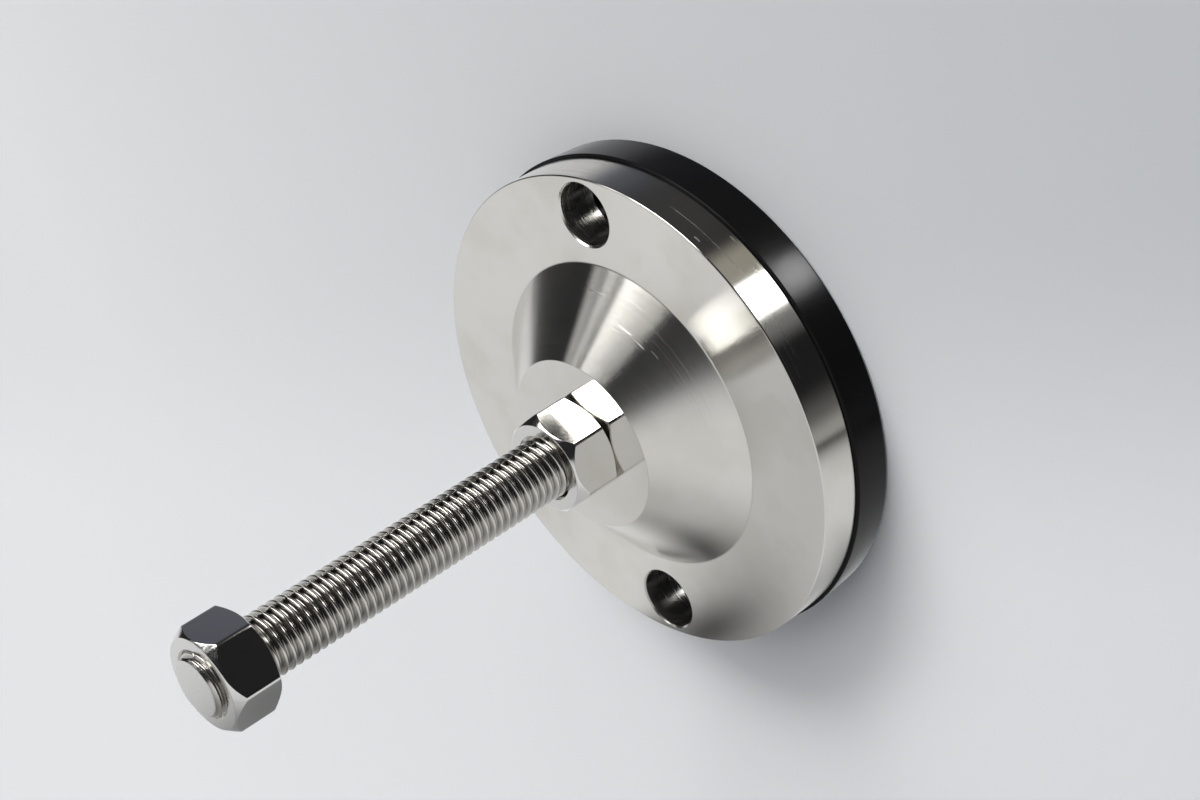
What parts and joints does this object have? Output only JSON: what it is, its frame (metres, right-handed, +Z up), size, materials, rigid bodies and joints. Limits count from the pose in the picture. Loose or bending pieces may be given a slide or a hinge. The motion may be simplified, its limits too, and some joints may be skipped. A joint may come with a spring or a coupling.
{
  "type": "adjustable leveling foot",
  "caption": "Leveling foot: a round turned steel base with a cone hub and anchor holes on a rubber pad, with an upright threaded stem and its hexagon nuts.",
  "frame": {"origin": "middle of the rubber pad's underside, on the stem's axis", "axes": "+Z up along the stem, +X through one of the two anchor holes"},
  "size_m": [0.0986, 0.0986, 0.1183],
  "materials": {
    "turned_steel": "fine-turned stainless steel, satin on the flange and the cone, nearly mirror on the hub face",
    "pad_rubber": "moulded black rubber with a soft sheen",
    "thread_steel": "rolled stainless thread, bright",
    "nut_steel": "polished stainless steel"
  },
  "bodies": {
    "base": {"base_plate": "turned_steel", "rubber_pad": "pad_rubber"},
    "stem": {"threaded_stem": "thread_steel"},
    "lower_nut": {"lower_nut": "nut_steel"},
    "upper_nut": {"upper_nut": "nut_steel"}
  },
  "joints": [
    {"name": "stem_screw", "type": "slide", "parent": "base", "child": "stem", "axis": [0, 0, 1], "range_m": [0, 0.007]},
    {"name": "lower_nut_travel", "type": "slide", "parent": "stem", "child": "lower_nut", "axis": [0, 0, 1], "range_m": [0, 0.0315]},
    {"name": "upper_nut_travel", "type": "slide", "parent": "stem", "child": "upper_nut", "axis": [0, 0, 1], "range_m": [-0.035, 0.00175]}
  ]
}
